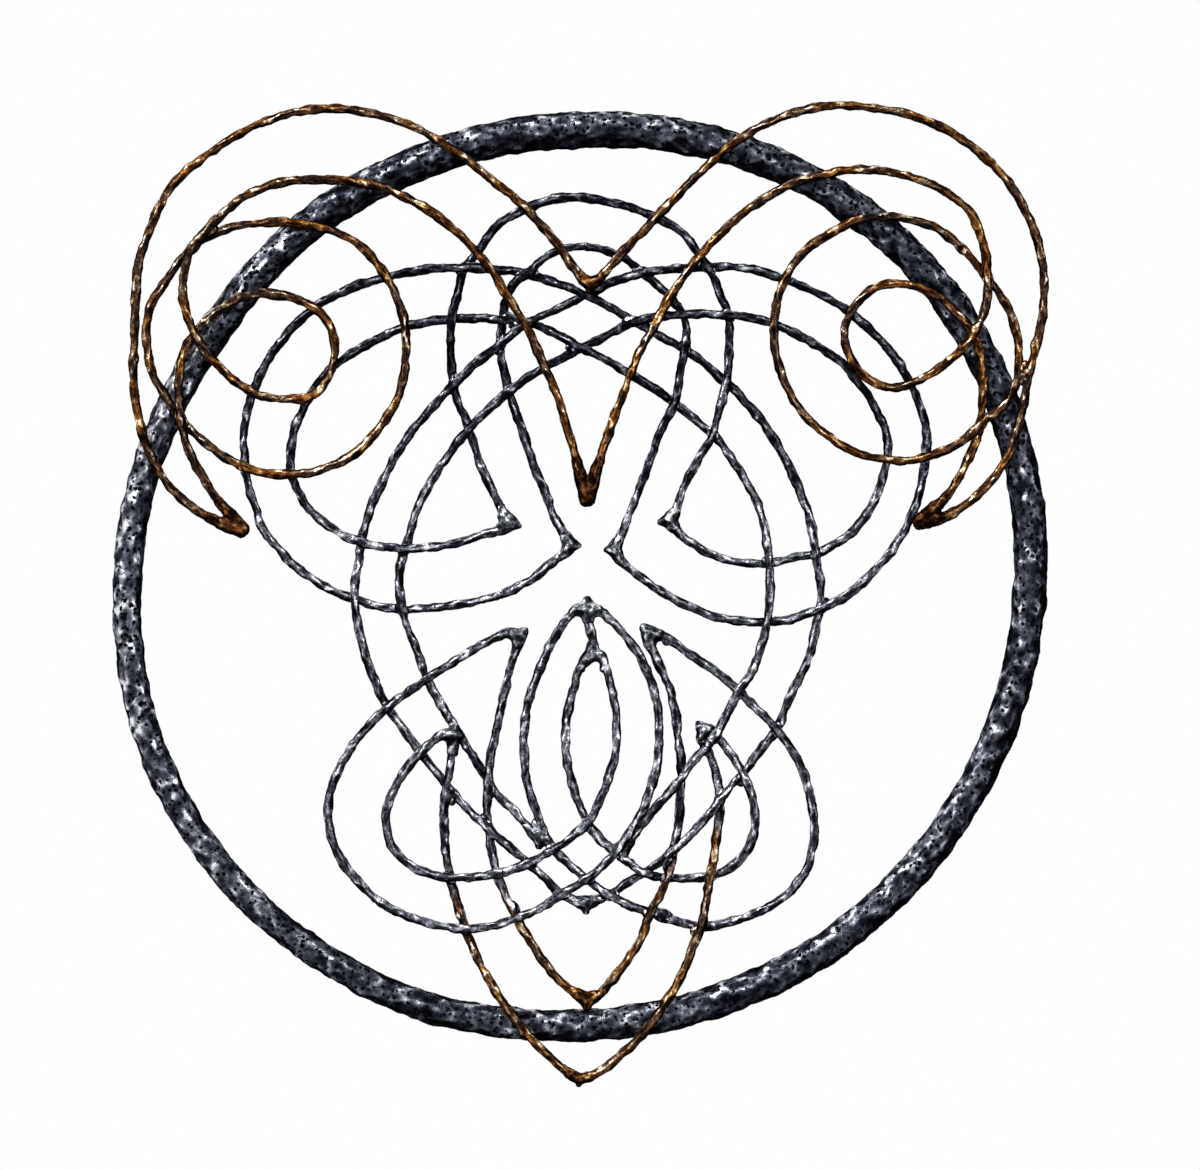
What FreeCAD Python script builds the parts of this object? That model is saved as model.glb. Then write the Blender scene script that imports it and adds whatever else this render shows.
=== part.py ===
import FreeCAD, Part
import math
import os

from FreeCAD import Rotation, Vector

# A horned ram's head in knotwork: bent round rods, laid over and under each other inside and
# across a hand-bent hoop of thicker bar, and welded where their ends meet. +Z is up and the
# front faces -Y. The origin is the middle of the mouth of the hanging sleeve, on the wall.

# Driving sizes in millimetres, kept in the sheet under the same names.
SIZES = [
    ("hoop_radius", 296.0),
    ("bar_diameter", 22.0),
    ("rod_diameter", 6.35),
    ("rod_gap", 0.3),
    ("sleeve_diameter", 14.0),
    ("sleeve_bore", 9.0),
    ("sleeve_length", 13.0),
    ("sleeve_floor", 1.0),
]

# The hoop's centre line, as shares of hoop_radius at each angle in degrees from +X.
HOOP_SHARES = [
    (0, 0.998), (20, 1.011), (40, 1.022), (60, 1.017), (80, 1.004), (90, 0.997),
    (110, 0.992), (130, 0.989), (145, 0.980), (160, 0.986), (180, 1.003), (200, 1.020),
    (220, 1.024), (235, 1.018), (250, 1.011), (265, 0.998), (280, 0.991), (300, 0.987),
    (320, 0.985), (340, 0.990),
]

# Routes of the rods. Each place is (across, up, lift): across and up are shares of
# hoop_radius from the hoop's centre, and lift counts rod layers towards the front.
HORN_OUTER_LEFT_SHARES = [
    (0.004, 0.655, 2), (-0.027, 0.697, 2), (-0.057, 0.740, 2), (-0.137, 0.827, 2),
    (-0.217, 0.893, 2), (-0.290, 0.948, 2), (-0.363, 0.990, 2), (-0.457, 1.022, 2),
    (-0.583, 1.034, 2), (-0.700, 1.005, 2), (-0.830, 0.930, 2), (-0.905, 0.863, 2),
    (-0.952, 0.770, 2), (-0.978, 0.690, 2), (-0.984, 0.620, 2), (-0.986, 0.555, 2),
    (-0.988, 0.490, 2), (-0.988, 0.420, 2), (-0.976, 0.343, 2), (-0.955, 0.277, 2),
    (-0.897, 0.187, 2), (-0.823, 0.132, 2), (-0.793, 0.120, 2),
]
HORN_OUTER_RIGHT_SHARES = [
    (0.033, 0.652, 2), (0.073, 0.697, 2), (0.110, 0.737, 2), (0.190, 0.820, 2),
    (0.277, 0.907, 2), (0.323, 0.947, 2), (0.417, 1.005, 2), (0.530, 1.038, 2),
    (0.637, 1.037, 2), (0.743, 1.015, 2), (0.847, 0.963, 2), (0.933, 0.883, 2),
    (0.990, 0.790, 2), (1.018, 0.697, 2), (1.021, 0.600, 2), (1.005, 0.513, 2),
    (0.990, 0.450, 2), (0.976, 0.380, 2), (0.960, 0.313, 2), (0.937, 0.257, 2),
    (0.883, 0.190, 2), (0.834, 0.149, 2), (0.783, 0.127, 2),
]
HORN_INNER_LEFT_SHARES = [
    (-0.002, 0.226, 2), (-0.020, 0.290, 2), (-0.058, 0.410, 2), (-0.088, 0.480, 2),
    (-0.120, 0.552, 2), (-0.165, 0.622, 2), (-0.200, 0.680, 2), (-0.232, 0.720, 2),
    (-0.270, 0.758, 2), (-0.350, 0.818, 2), (-0.447, 0.862, 2), (-0.547, 0.877, 2),
    (-0.650, 0.872, 2.3), (-0.717, 0.852, 2.6), (-0.787, 0.803, 3), (-0.833, 0.755, 3),
    (-0.866, 0.707, 3), (-0.877, 0.655, 3), (-0.874, 0.600, 3), (-0.853, 0.540, 3),
    (-0.823, 0.490, 2.6), (-0.773, 0.440, 2.1), (-0.723, 0.407, 2), (-0.650, 0.393, 2),
    (-0.590, 0.403, 2), (-0.557, 0.447, 2), (-0.544, 0.503, 2), (-0.560, 0.563, 2),
    (-0.592, 0.595, 2), (-0.650, 0.620, 2), (-0.733, 0.623, 2), (-0.797, 0.590, 2),
    (-0.853, 0.540, 2), (-0.877, 0.500, 2), (-0.887, 0.433, 2.3), (-0.886, 0.385, 2.7),
    (-0.882, 0.343, 3), (-0.873, 0.305, 2.8), (-0.857, 0.261, 2.4), (-0.838, 0.224, 2.1),
    (-0.816, 0.187, 2), (-0.787, 0.152, 2), (-0.773, 0.138, 2),
]
HORN_INNER_RIGHT_SHARES = [
    (0.029, 0.227, 2), (0.053, 0.297, 2), (0.097, 0.417, 2), (0.130, 0.500, 2),
    (0.158, 0.548, 2), (0.197, 0.621, 2), (0.237, 0.677, 2), (0.265, 0.713, 2),
    (0.327, 0.777, 2), (0.377, 0.817, 2), (0.437, 0.855, 2), (0.530, 0.887, 2),
    (0.617, 0.900, 2), (0.710, 0.887, 2.3), (0.797, 0.853, 2.6), (0.860, 0.797, 3),
    (0.885, 0.735, 3), (0.895, 0.660, 3), (0.890, 0.595, 3), (0.865, 0.537, 3),
    (0.843, 0.507, 2.9), (0.797, 0.467, 2.4), (0.743, 0.433, 2), (0.683, 0.418, 2),
    (0.630, 0.440, 2), (0.590, 0.493, 2), (0.582, 0.557, 2), (0.610, 0.607, 2),
    (0.657, 0.642, 2), (0.720, 0.646, 2), (0.797, 0.613, 2), (0.835, 0.576, 2),
    (0.865, 0.537, 2), (0.882, 0.480, 2), (0.888, 0.412, 1.6), (0.884, 0.340, 1),
    (0.872, 0.297, 1.1), (0.850, 0.250, 1.6), (0.797, 0.168, 2), (0.779, 0.151, 2),
]
HORN_CIRCLE_LEFT_SHARES = [
    (-0.563, 0.768, 2), (-0.650, 0.783, 2), (-0.717, 0.780, 2), (-0.777, 0.770, 2),
    (-0.842, 0.741, 2), (-0.893, 0.690, 2), (-0.927, 0.640, 2), (-0.953, 0.590, 2),
    (-0.961, 0.540, 2), (-0.958, 0.493, 2), (-0.940, 0.433, 2), (-0.912, 0.387, 2),
    (-0.882, 0.343, 2), (-0.843, 0.307, 2), (-0.793, 0.268, 2), (-0.745, 0.243, 2),
    (-0.683, 0.227, 2), (-0.630, 0.227, 2), (-0.557, 0.243, 2), (-0.500, 0.273, 2),
    (-0.457, 0.317, 2), (-0.423, 0.363, 2), (-0.398, 0.420, 2), (-0.388, 0.480, 2),
    (-0.388, 0.547, 2), (-0.403, 0.605, 2), (-0.430, 0.662, 2), (-0.470, 0.715, 2),
    (-0.507, 0.745, 2),
]
HORN_CIRCLE_RIGHT_SHARES = [
    (0.653, 0.796, 2), (0.720, 0.790, 2), (0.783, 0.770, 2), (0.833, 0.733, 2),
    (0.870, 0.695, 2), (0.895, 0.660, 2), (0.930, 0.617, 2), (0.950, 0.577, 2),
    (0.963, 0.530, 2), (0.966, 0.480, 2), (0.961, 0.430, 2), (0.938, 0.385, 2),
    (0.884, 0.340, 2), (0.843, 0.303, 2), (0.787, 0.273, 2), (0.720, 0.257, 2),
    (0.670, 0.260, 2), (0.603, 0.277, 2), (0.550, 0.307, 2), (0.500, 0.350, 2),
    (0.463, 0.400, 2), (0.437, 0.463, 2), (0.425, 0.530, 2), (0.428, 0.590, 2),
    (0.445, 0.650, 2), (0.470, 0.693, 2), (0.510, 0.733, 2), (0.563, 0.767, 2),
    (0.610, 0.788, 2),
]
BROW_OUTER_SHARES = [
    (-0.172, 0.138, 0.5), (-0.193, 0.183, 0.5), (-0.217, 0.233, 0.4), (-0.250, 0.327, 0),
    (-0.282, 0.420, 0), (-0.290, 0.500, 0.5), (-0.287, 0.573, 1), (-0.277, 0.620, 0.6),
    (-0.259, 0.685, 0), (-0.232, 0.720, 0), (-0.193, 0.773, 0.3), (-0.125, 0.816, 0.5),
    (-0.037, 0.842, 0.5), (0.030, 0.838, 0.5), (0.097, 0.823, 0.5), (0.165, 0.797, 0.5),
    (0.230, 0.757, 0.7), (0.262, 0.713, 0.9), (0.280, 0.686, 1), (0.310, 0.620, 0.4),
    (0.326, 0.580, 0), (0.328, 0.500, 0.5), (0.321, 0.432, 1), (0.303, 0.360, 1),
    (0.291, 0.319, 1), (0.257, 0.257, 0.6), (0.230, 0.205, 0.5), (0.206, 0.140, 0.5),
]
BROW_INNER_SHARES = [
    (-0.033, 0.090, 0.5), (-0.058, 0.130, 0.5), (-0.080, 0.187, 0.5), (-0.107, 0.253, 0.5),
    (-0.135, 0.337, 0.3), (-0.160, 0.411, 0), (-0.174, 0.470, 0), (-0.180, 0.515, 0),
    (-0.176, 0.568, -0.05), (-0.165, 0.622, 0.3), (-0.143, 0.657, 1), (-0.118, 0.673, 1),
    (-0.083, 0.706, 0.8), (-0.045, 0.726, 0.5), (0.003, 0.732, 0.5), (0.057, 0.723, 0.5),
    (0.087, 0.711, 0.4), (0.138, 0.674, 0), (0.170, 0.648, 0), (0.197, 0.621, 0),
    (0.225, 0.582, 0), (0.233, 0.550, 0.4), (0.229, 0.504, 1), (0.218, 0.450, 1),
    (0.206, 0.386, 1), (0.180, 0.333, 0.6), (0.150, 0.253, 0.5), (0.120, 0.173, 0.5),
    (0.095, 0.110, 0.5), (0.080, 0.077, 0.5),
]
EAR_OUTER_LEFT_SHARES = [
    (-0.030, 0.056, 0.5), (-0.067, 0.031, 0.5), (-0.103, 0.001, 0.5), (-0.157, -0.030, 0.5),
    (-0.220, -0.050, 0.5), (-0.310, -0.066, 0.3), (-0.397, -0.071, 0), (-0.450, -0.065, 0),
    (-0.502, -0.050, 0), (-0.550, -0.031, 0.3), (-0.583, -0.013, 0.5), (-0.627, 0.018, 0.5),
    (-0.667, 0.057, 0.5), (-0.703, 0.103, 0.5), (-0.724, 0.157, 0.5), (-0.738, 0.200, 0.6),
    (-0.745, 0.243, 0.7), (-0.748, 0.300, 0.7), (-0.742, 0.357, 0.7), (-0.727, 0.412, 0.8),
    (-0.693, 0.483, 0.7), (-0.630, 0.563, 0.7), (-0.592, 0.595, 0.8), (-0.520, 0.637, 0.7),
    (-0.428, 0.665, 0.8), (-0.347, 0.681, 0.9), (-0.259, 0.685, 1), (-0.200, 0.682, 0.8),
    (-0.118, 0.673, 0), (-0.060, 0.653, 0.4), (0.010, 0.625, 1), (0.060, 0.600, 0.7),
    (0.120, 0.566, 0), (0.157, 0.546, 0), (0.190, 0.527, 0), (0.229, 0.504, 0),
    (0.283, 0.467, 0), (0.321, 0.432, 0), (0.363, 0.390, 0.3), (0.423, 0.313, 0.5),
    (0.453, 0.260, 0.5), (0.480, 0.200, 0.5), (0.500, 0.150, 0.6), (0.512, 0.100, 0.8),
    (0.519, 0.053, 1), (0.527, 0.007, 0.8), (0.531, -0.033, 0.3), (0.530, -0.069, 0),
    (0.522, -0.107, 0.2), (0.503, -0.183, 0.5), (0.477, -0.237, 0.4), (0.452, -0.293, 0.1),
    (0.433, -0.338, 0), (0.397, -0.385, 0), (0.358, -0.438, 0), (0.333, -0.463, 0.6),
    (0.308, -0.493, 1), (0.280, -0.530, 1), (0.240, -0.572, 1), (0.204, -0.607, 1),
    (0.186, -0.621, 0.9), (0.163, -0.639, 0.3), (0.140, -0.655, 0), (0.103, -0.680, 0), (0.062, -0.705, 0),
    (0.040, -0.716, 0), (0.025, -0.722, 0),
]
EAR_OUTER_RIGHT_SHARES = [
    (0.079, 0.044, 0.5), (0.107, 0.019, 0.5), (0.143, -0.008, 0.5), (0.197, -0.045, 0.5),
    (0.243, -0.067, 0.5), (0.297, -0.087, 0.4), (0.350, -0.097, 0.2), (0.411, -0.100, 0),
    (0.457, -0.095, 0.3), (0.507, -0.079, 0.9), (0.530, -0.069, 1), (0.570, -0.051, 0.8),
    (0.610, -0.024, 0.5), (0.660, 0.027, 0.5), (0.700, 0.075, 0.5), (0.730, 0.130, 0.5),
    (0.752, 0.197, 0.6), (0.762, 0.261, 0.7), (0.765, 0.315, 0.7), (0.752, 0.373, 0.7),
    (0.729, 0.429, 0.8), (0.700, 0.480, 0.7), (0.642, 0.545, 0.7), (0.594, 0.587, 0.8),
    (0.537, 0.621, 0.7), (0.450, 0.660, 0.8), (0.383, 0.681, 0.5), (0.327, 0.689, 0.2),
    (0.280, 0.686, 0), (0.239, 0.685, 0.3), (0.190, 0.682, 0.8), (0.138, 0.674, 1),
    (0.080, 0.657, 0.6), (0.010, 0.625, 0), (-0.050, 0.597, 0.4), (-0.112, 0.566, 1),
    (-0.143, 0.547, 1.05), (-0.180, 0.515, 1), (-0.230, 0.477, 1), (-0.282, 0.427, 1),
    (-0.320, 0.387, 0.8), (-0.367, 0.333, 0.5), (-0.417, 0.260, 0.5), (-0.455, 0.183, 0.4),
    (-0.475, 0.130, 0.2), (-0.488, 0.077, 0), (-0.495, 0.030, 0.3), (-0.501, -0.010, 0.8),
    (-0.502, -0.050, 1), (-0.497, -0.093, 0.8), (-0.482, -0.163, 0.5), (-0.460, -0.225, 0.3),
    (-0.431, -0.290, 0), (-0.395, -0.338, 0), (-0.358, -0.390, 0), (-0.330, -0.425, 0),
    (-0.299, -0.462, 0), (-0.263, -0.503, 0.4), (-0.232, -0.533, 0.9), (-0.207, -0.554, 1),
    (-0.175, -0.585, 0.7), (-0.118, -0.635, 0), (-0.085, -0.666, 0), (-0.045, -0.704, 0),
    (-0.022, -0.716, 0.2), (-0.005, -0.723, 0.3),
]
EAR_INNER_LEFT_SHARES = [
    (-0.172, 0.107, 0.5), (-0.220, 0.093, 0.5), (-0.277, 0.076, 0.6), (-0.337, 0.065, 0.8),
    (-0.391, 0.063, 1), (-0.440, 0.067, 1), (-0.488, 0.077, 1), (-0.533, 0.097, 0.7),
    (-0.597, 0.143, 0.5), (-0.630, 0.190, 0.5), (-0.643, 0.228, 0.6), (-0.643, 0.293, 0.7),
    (-0.617, 0.373, 0.7), (-0.587, 0.423, 0.8), (-0.557, 0.462, 0.8), (-0.513, 0.493, 0.7),
    (-0.440, 0.533, 0.8), (-0.389, 0.555, 0.8), (-0.340, 0.567, 0.3), (-0.287, 0.573, 0),
    (-0.230, 0.574, 0.5), (-0.176, 0.570, 1), (-0.148, 0.570, 0.45),
    (-0.126, 0.567, 0.05), (-0.107, 0.562, 0), (-0.055, 0.539, 0.3), (0.000, 0.507, 1),
    (0.050, 0.483, 0.9), (0.109, 0.449, 0.8), (0.163, 0.417, 0.4),
    (0.206, 0.386, 0), (0.257, 0.345, 0), (0.291, 0.319, 0), (0.337, 0.257, 0.4),
    (0.380, 0.185, 0.5), (0.406, 0.113, 0.7), (0.4155, 0.031, 1), (0.418, -0.030, 1),
    (0.411, -0.100, 1), (0.403, -0.137, 0.9), (0.382, -0.200, 0.9), (0.349, -0.253, 1),
    (0.323, -0.302, 1), (0.297, -0.350, 1), (0.275, -0.378, 1), (0.250, -0.407, 1),
    (0.223, -0.443, 1), (0.187, -0.487, 0.5), (0.153, -0.527, 0), (0.131, -0.555, 0),
    (0.105, -0.585, 0),
]
EAR_INNER_RIGHT_SHARES = [
    (0.206, 0.112, 0.5), (0.247, 0.074, 0.5), (0.297, 0.047, 0.4), (0.350, 0.033, 0.1),
    (0.4155, 0.031, 0), (0.467, 0.042, 0), (0.519, 0.053, 0), (0.563, 0.074, 0.3),
    (0.603, 0.104, 0.5), (0.637, 0.145, 0.5), (0.662, 0.200, 0.5), (0.677, 0.259, 0.6),
    (0.678, 0.310, 0.7), (0.657, 0.363, 0.7), (0.615, 0.430, 0.8), (0.577, 0.475, 0.7),
    (0.530, 0.508, 0.7), (0.477, 0.538, 0.7), (0.426, 0.561, 0.8), (0.377, 0.574, 0.9),
    (0.326, 0.580, 1), (0.277, 0.583, 1), (0.225, 0.582, 1), (0.172, 0.577, 1),
    (0.120, 0.566, 1), (0.060, 0.537, 0.6), (0.000, 0.507, 0), (-0.048, 0.484, 0.2),
    (-0.085, 0.464, 0.5), (-0.120, 0.441, 0.7), (-0.160, 0.411, 1), (-0.205, 0.373, 1),
    (-0.250, 0.327, 1), (-0.297, 0.267, 0.7), (-0.347, 0.190, 0.5), (-0.377, 0.110, 0.2),
    (-0.391, 0.063, 0), (-0.403, 0.013, 0.4), (-0.402, -0.035, 0.9), (-0.397, -0.071, 1),
    (-0.385, -0.110, 0.8), (-0.362, -0.173, 0.4), (-0.343, -0.226, 0), (-0.318, -0.270, 0),
    (-0.290, -0.320, 0), (-0.263, -0.363, 0), (-0.230, -0.415, 0), (-0.206, -0.455, 0),
    (-0.190, -0.480, 0), (-0.157, -0.511, 0.2), (-0.125, -0.549, 0.2), (-0.106, -0.571, 0.1),
]
CHEEK_OUTER_LEFT_SHARES = [
    (-0.152, -0.120, 0.5), (-0.193, -0.136, 0.5), (-0.247, -0.166, 0.6), (-0.300, -0.200, 0.9),
    (-0.343, -0.226, 1), (-0.390, -0.259, 1), (-0.431, -0.290, 1), (-0.483, -0.343, 0.7),
    (-0.530, -0.410, 0.5), (-0.555, -0.470, 0.5), (-0.561, -0.537, 0.5), (-0.549, -0.595, 0.5),
    (-0.515, -0.652, 0.5), (-0.463, -0.707, 0.5), (-0.403, -0.745, 0.6), (-0.330, -0.770, 0.8),
    (-0.264, -0.778, 1), (-0.205, -0.774, 1), (-0.143, -0.756, 1), (-0.090, -0.733, 1),
    (-0.045, -0.704, 1), (0.011, -0.669, 1.05), (0.045, -0.640, 1), (0.076, -0.609, 1),
    (0.104, -0.570, 1), (0.127, -0.533, 1), (0.153, -0.470, 0.7), (0.170, -0.405, 0.5),
    (0.173, -0.343, 0.5), (0.166, -0.273, 0.5), (0.146, -0.210, 0.5), (0.107, -0.143, 0.5),
    (0.073, -0.103, 0.5), (0.035, -0.071, 0.5),
]
CHEEK_OUTER_RIGHT_SHARES = [
    (-0.008, -0.069, 0.5), (-0.036, -0.098, 0.5), (-0.065, -0.142, 0.5), (-0.093, -0.203, 0.5),
    (-0.117, -0.270, 0.5), (-0.127, -0.345, 0.5), (-0.126, -0.410, 0.5), (-0.115, -0.475, 0.5),
    (-0.094, -0.535, 0.3), (-0.066, -0.600, 0), (-0.030, -0.636, 0), (0.011, -0.669, 0),
    (0.037, -0.689, 0.7), (0.062, -0.705, 1), (0.100, -0.725, 0.6), (0.153, -0.744, 0),
    (0.212, -0.765, 0), (0.264, -0.776, 0), (0.330, -0.765, 0.3), (0.403, -0.738, 0.5),
    (0.463, -0.697, 0.5), (0.502, -0.642, 0.5), (0.516, -0.567, 0.5), (0.510, -0.497, 0.5),
    (0.487, -0.422, 0.5), (0.433, -0.338, 1), (0.396, -0.299, 0.7), (0.349, -0.253, 0),
    (0.313, -0.222, 0.2), (0.253, -0.180, 0.5), (0.200, -0.143, 0.5), (0.170, -0.124, 0.5),
]
CHEEK_INNER_LEFT_SHARES = [
    (-0.301, -0.343, 1), (-0.330, -0.363, 1), (-0.358, -0.390, 1), (-0.395, -0.435, 0.7),
    (-0.423, -0.490, 0.5), (-0.434, -0.545, 0.5), (-0.420, -0.595, 0.5), (-0.385, -0.634, 0.6),
    (-0.340, -0.657, 0.9), (-0.292, -0.665, 1), (-0.240, -0.665, 1), (-0.189, -0.657, 1),
    (-0.150, -0.647, 1), (-0.118, -0.635, 1), (-0.066, -0.605, 1), (-0.023, -0.577, 1),
    (0.014, -0.544, 1), (0.042, -0.493, 0.7), (0.063, -0.438, 0.5), (0.077, -0.373, 0.5),
    (0.077, -0.310, 0.5), (0.067, -0.247, 0.5), (0.053, -0.195, 0.5), (0.043, -0.170, 0.5),
]
CHEEK_INNER_RIGHT_SHARES = [
    (0.006, -0.182, 0.5), (-0.010, -0.222, 0.5), (-0.026, -0.280, 0.5), (-0.035, -0.345, 0.5),
    (-0.033, -0.405, 0.5), (-0.017, -0.470, 0.4), (0.014, -0.544, 0), (0.043, -0.583, 0),
    (0.076, -0.609, 0), (0.105, -0.635, 0.6), (0.140, -0.655, 1.05), (0.188, -0.668, -0.05),
    (0.240, -0.669, 0), (0.286, -0.663, 0), (0.330, -0.645, 0.3), (0.367, -0.608, 0.5),
    (0.386, -0.553, 0.5), (0.380, -0.497, 0.6), (0.358, -0.438, 1), (0.340, -0.405, 0.6),
    (0.318, -0.374, 0.1), (0.298, -0.350, 0), (0.284, -0.335, 0.2),
]
NOSE_LINK_SHARES = [
    (0.017, -0.092, 0.5), (0.020, -0.112, 0.5), (0.024, -0.134, 0.5), (0.026, -0.152, 0.5),
]
CHIN_INNER_LEFT_SHARES = [
    (-0.141, -0.151, 0.5), (-0.158, -0.203, 0.5), (-0.172, -0.262, 0.5), (-0.187, -0.330, 0.5),
    (-0.200, -0.392, 0.8), (-0.206, -0.455, 1), (-0.208, -0.503, 0.6), (-0.207, -0.554, 0),
    (-0.201, -0.600, 0), (-0.189, -0.657, 0), (-0.170, -0.706, 0), (-0.143, -0.756, 0),
    (-0.117, -0.803, 0.2), (-0.083, -0.855, 0.4), (-0.043, -0.900, 0.5), (-0.007, -0.928, 0.5),
]
CHIN_INNER_RIGHT_SHARES = [
    (0.148, -0.147, 0.5), (0.176, -0.203, 0.5), (0.203, -0.272, 0.5), (0.215, -0.353, 0.2),
    (0.222, -0.443, 0), (0.220, -0.500, 0), (0.214, -0.553, 0), (0.204, -0.607, 0),
    (0.199, -0.631, 0.1), (0.190, -0.668, 1), (0.174, -0.705, 1), (0.153, -0.744, 1),
    (0.130, -0.803, 0.7),
    (0.093, -0.862, 0.5), (0.050, -0.915, 0.5), (0.031, -0.933, 0.5),
]
CHIN_OUTER_LEFT_SHARES = [
    (-0.284, -0.371, 1), (-0.291, -0.417, 1), (-0.299, -0.462, 1), (-0.305, -0.530, 0.6),
    (-0.302, -0.600, 0.3), (-0.292, -0.665, 0), (-0.276, -0.723, 0), (-0.258, -0.782, 0),
    (-0.233, -0.840, 0.6), (-0.193, -0.910, 1.5), (-0.140, -0.985, 2), (-0.080, -1.050, 2),
    (-0.037, -1.088, 2), (-0.020, -1.103, 2),
]
CHIN_OUTER_RIGHT_SHARES = [
    (0.264, -0.357, 0), (0.275, -0.373, 0), (0.288, -0.398, 0), (0.299, -0.437, 0),
    (0.308, -0.493, 0), (0.303, -0.550, 0.4), (0.296, -0.604, 0.8), (0.286, -0.663, 1),
    (0.279, -0.705, 1), (0.264, -0.776, 1), (0.247, -0.820, 1.1), (0.224, -0.876, 1.6),
    (0.196, -0.925, 2), (0.163, -0.973, 2), (0.110, -1.035, 2), (0.047, -1.087, 2),
    (0.012, -1.107, 2),
]

# Each rod's name, its route and whether it closes on itself.
RODS = [
    ("horn_outer_left", HORN_OUTER_LEFT_SHARES, False),
    ("horn_outer_right", HORN_OUTER_RIGHT_SHARES, False),
    ("horn_inner_left", HORN_INNER_LEFT_SHARES, False),
    ("horn_inner_right", HORN_INNER_RIGHT_SHARES, False),
    ("horn_circle_left", HORN_CIRCLE_LEFT_SHARES, True),
    ("horn_circle_right", HORN_CIRCLE_RIGHT_SHARES, True),
    ("brow_outer", BROW_OUTER_SHARES, False),
    ("brow_inner", BROW_INNER_SHARES, False),
    ("ear_outer_left", EAR_OUTER_LEFT_SHARES, False),
    ("ear_outer_right", EAR_OUTER_RIGHT_SHARES, False),
    ("ear_inner_left", EAR_INNER_LEFT_SHARES, False),
    ("ear_inner_right", EAR_INNER_RIGHT_SHARES, False),
    ("cheek_outer_left", CHEEK_OUTER_LEFT_SHARES, False),
    ("cheek_outer_right", CHEEK_OUTER_RIGHT_SHARES, False),
    ("cheek_inner_left", CHEEK_INNER_LEFT_SHARES, False),
    ("cheek_inner_right", CHEEK_INNER_RIGHT_SHARES, False),
    ("nose_link", NOSE_LINK_SHARES, False),
    ("chin_inner_left", CHIN_INNER_LEFT_SHARES, False),
    ("chin_inner_right", CHIN_INNER_RIGHT_SHARES, False),
    ("chin_outer_left", CHIN_OUTER_LEFT_SHARES, False),
    ("chin_outer_right", CHIN_OUTER_RIGHT_SHARES, False),
]

# The round weld knobs. Each place is (across, up, lift), then the knob's radius as a share of
# rod_diameter and the bars that it holds.
KNOB_SHARES = [
    ("weld_horn_peak", (0.019, 0.648, 2), 0.88, ["horn_outer_left", "horn_outer_right"]),
    ("weld_brow_outer_left", (-0.160, 0.120, 0.5), 1.05, ["brow_outer", "ear_inner_left"]),
    ("weld_brow_outer_right", (0.195, 0.124, 0.5), 1.05, ["ear_inner_right", "brow_outer"]),
    ("weld_brow_inner_left", (-0.025, 0.072, 0.5), 1.00, ["brow_inner", "ear_outer_left"]),
    ("weld_brow_inner_right", (0.073, 0.061, 0.5), 1.00, ["brow_inner", "ear_outer_right"]),
    ("weld_cheek_outer_left", (-0.139, -0.131, 0.5), 0.98,
     ["cheek_outer_left", "chin_inner_left"]),
    ("weld_cheek_outer_right", (0.152, -0.128, 0.5), 0.98,
     ["cheek_outer_right", "chin_inner_right"]),
    ("weld_cheek_inner_left", (-0.286, -0.350, 1), 0.92,
     ["cheek_inner_left", "chin_outer_left", "ear_inner_right"]),
    ("weld_cheek_inner_right", (0.271, -0.340, 0.1), 0.90,
     ["cheek_inner_right", "chin_outer_right"]),
    ("weld_nose_top", (0.014, -0.073, 0.5), 1.15,
     ["cheek_outer_left", "cheek_outer_right", "nose_link"]),
    ("weld_nose_almond", (0.023, -0.170, 0.5), 1.05,
     ["cheek_inner_left", "cheek_inner_right", "nose_link"]),
    ("weld_nose_side_left", (-0.092, -0.580, 0.1), 0.85,
     ["ear_inner_right", "cheek_outer_right"]),
    ("weld_nose_side_right", (0.096, -0.598, -0.3), 0.85,
     ["ear_inner_left", "cheek_inner_right"]),
    ("weld_face_point", (0.010, -0.724, 0.1), 0.80, ["ear_outer_left", "ear_outer_right"]),
    ("weld_chin_inner", (0.012, -0.938, 0.5), 1.10,
     ["chin_inner_left", "chin_inner_right", "hoop"]),
    ("weld_chin_point", (-0.004, -1.108, 2), 0.85, ["chin_outer_left", "chin_outer_right"]),
]

# The long weld tips. Each place is where the tip starts, then its radius at the start, its
# radius at the end and its length as shares of rod_diameter, the way it points in degrees
# from +X and the bars that it holds.
TIP_SHARES = [
    ("weld_horn_tip_left", (-0.797, 0.141, 2), (1.10, 0.35, 3.60), -38,
     ["horn_outer_left", "horn_inner_left"]),
    ("weld_horn_tip_right", (0.797, 0.146, 2), (1.05, 0.35, 3.40), 206,
     ["horn_outer_right", "horn_inner_right"]),
    ("weld_horn_point", (0.0135, 0.240, 2), (0.95, 0.60, 4.00), -90,
     ["horn_inner_left", "horn_inner_right"]),
]

# The rod layer that just clears the hoop's front, counted from the rearmost layer.
HOOP_LAYER = 2


def make_sheet(doc):
    """The sheet of driving sizes: the name beside its value, and an alias of the same name."""
    sheet = doc.addObject("Spreadsheet::Sheet", "Sizes")
    for row, (name, value) in enumerate(SIZES, start=1):
        sheet.set("A" + str(row), name)
        sheet.set("B" + str(row), str(value))
        sheet.setAlias("B" + str(row), name)
    doc.recompute()
    return sheet


def hoop_depth(sheet):
    """How far the hoop's centre line stands in front of the wall."""
    return -(sheet.sleeve_length + sheet.bar_diameter / 2)


def hoop_drop(sheet):
    """The height of the hoop's centre, below the sleeve at its top."""
    top = dict(HOOP_SHARES)[90]
    return -top * sheet.hoop_radius


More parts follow.
